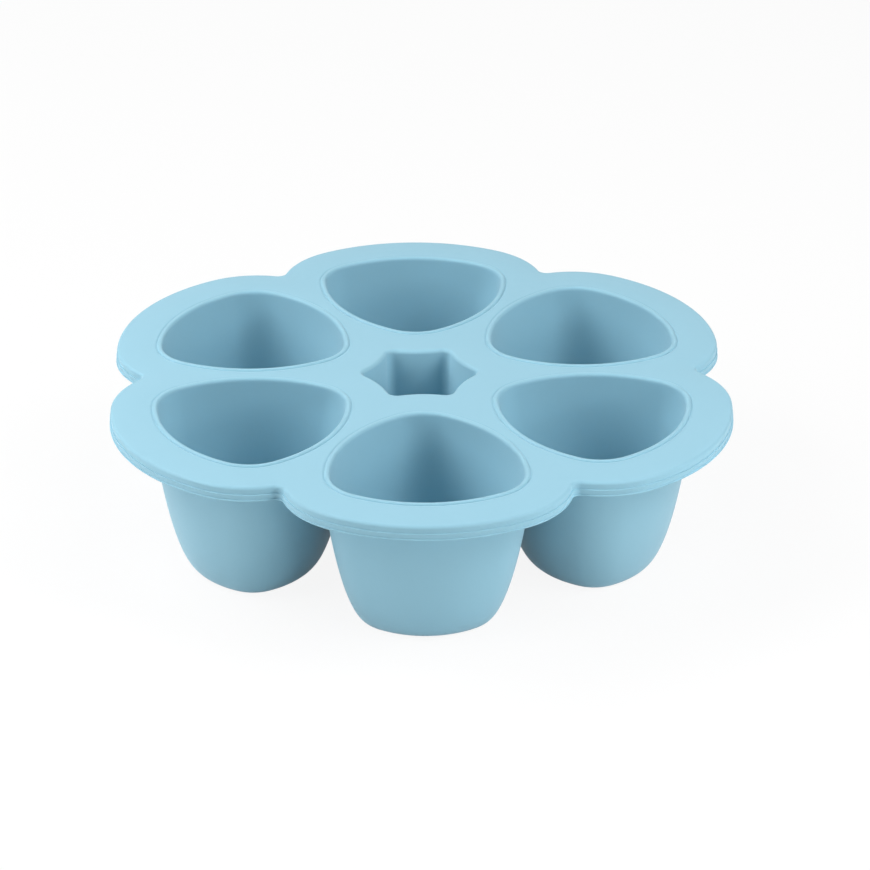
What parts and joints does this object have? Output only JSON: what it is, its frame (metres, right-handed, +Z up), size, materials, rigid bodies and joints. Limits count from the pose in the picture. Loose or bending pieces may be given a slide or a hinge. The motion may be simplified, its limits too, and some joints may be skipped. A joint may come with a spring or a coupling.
{
  "type": "baby food freezer tray",
  "caption": "Round lobed silicone tray of open rounded-triangle cups for freezing baby food portions, with a stepped rim for a lid, a star-shaped centre well and soft push-up cup floors.",
  "frame": {"origin": "on the table under the tray's centre, at the level of the cups' flat bases", "axes": "+Z up through the star well; -Y runs out through the middle of cup 1, the front cup; +X to the right of it, through the valley between two petals"},
  "size_m": [0.2222, 0.2356, 0.0582],
  "materials": {
    "silicone": "matte satin moulded silicone"
  },
  "bodies": {
    "tray": {"centre_web": "silicone", "star_well": "silicone", "rim_petal_1": "silicone", "rim_petal_2": "silicone", "rim_petal_3": "silicone", "rim_petal_4": "silicone", "rim_petal_5": "silicone", "rim_petal_6": "silicone", "cup_1_lip": "silicone", "cup_1_wall": "silicone", "cup_1_heel": "silicone", "cup_2_lip": "silicone", "cup_2_wall": "silicone", "cup_2_heel": "silicone", "cup_3_lip": "silicone", "cup_3_wall": "silicone", "cup_3_heel": "silicone", "cup_4_lip": "silicone", "cup_4_wall": "silicone", "cup_4_heel": "silicone", "cup_5_lip": "silicone", "cup_5_wall": "silicone", "cup_5_heel": "silicone", "cup_6_lip": "silicone", "cup_6_wall": "silicone", "cup_6_heel": "silicone"},
    "soft_floor_1": {"cup_1_floor": "silicone"},
    "soft_floor_2": {"cup_2_floor": "silicone"},
    "soft_floor_3": {"cup_3_floor": "silicone"},
    "soft_floor_4": {"cup_4_floor": "silicone"},
    "soft_floor_5": {"cup_5_floor": "silicone"},
    "soft_floor_6": {"cup_6_floor": "silicone"}
  },
  "joints": [
    {"name": "cup_1_push_up", "type": "slide", "parent": "tray", "child": "soft_floor_1", "axis": [0, 0, 1], "range_m": [0, 0.015], "stiffness_N_per_m": 700, "springref_m": -0.002},
    {"name": "cup_2_push_up", "type": "slide", "parent": "tray", "child": "soft_floor_2", "axis": [0, 0, 1], "range_m": [0, 0.015], "stiffness_N_per_m": 700, "springref_m": -0.002},
    {"name": "cup_3_push_up", "type": "slide", "parent": "tray", "child": "soft_floor_3", "axis": [0, 0, 1], "range_m": [0, 0.015], "stiffness_N_per_m": 700, "springref_m": -0.002},
    {"name": "cup_4_push_up", "type": "slide", "parent": "tray", "child": "soft_floor_4", "axis": [0, 0, 1], "range_m": [0, 0.015], "stiffness_N_per_m": 700, "springref_m": -0.002},
    {"name": "cup_5_push_up", "type": "slide", "parent": "tray", "child": "soft_floor_5", "axis": [0, 0, 1], "range_m": [0, 0.015], "stiffness_N_per_m": 700, "springref_m": -0.002},
    {"name": "cup_6_push_up", "type": "slide", "parent": "tray", "child": "soft_floor_6", "axis": [0, 0, 1], "range_m": [0, 0.015], "stiffness_N_per_m": 700, "springref_m": -0.002}
  ]
}
